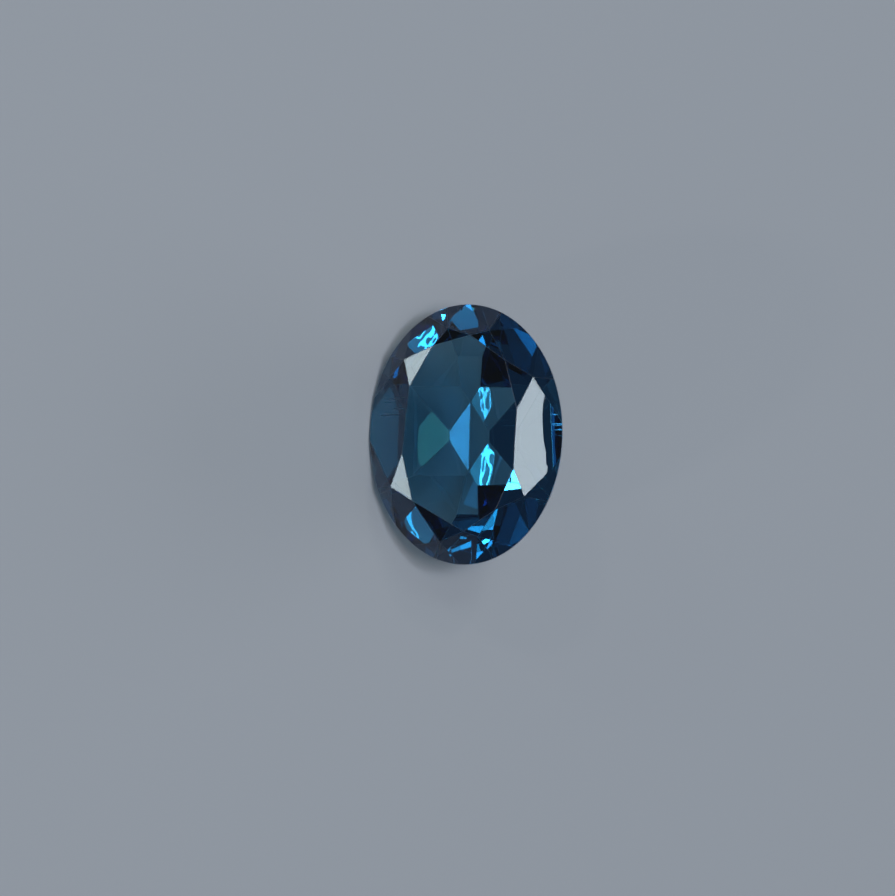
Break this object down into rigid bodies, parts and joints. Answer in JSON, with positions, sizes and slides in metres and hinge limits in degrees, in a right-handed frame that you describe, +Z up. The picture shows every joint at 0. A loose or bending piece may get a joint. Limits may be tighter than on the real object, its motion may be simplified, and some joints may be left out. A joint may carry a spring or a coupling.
{
  "type": "oval faceted topaz gemstone",
  "caption": "Oval brilliant-cut blue topaz with a flat table, a thin girdle and a keeled pavilion, lying on one side facet with its table leaning forward.",
  "frame": {"origin": "centre of the bounding box on the surface that the stone lies on", "axes": "+Z up, +X along the long axis of the oval, and the table leans up and towards -Y, 40 degrees from level"},
  "size_m": [0.007, 0.004, 0.0034],
  "materials": {
    "topaz": "gem polish, clear blue topaz, refractive index 1.62"
  },
  "bodies": {
    "root": {"topaz": "topaz"}
  },
  "joints": []
}
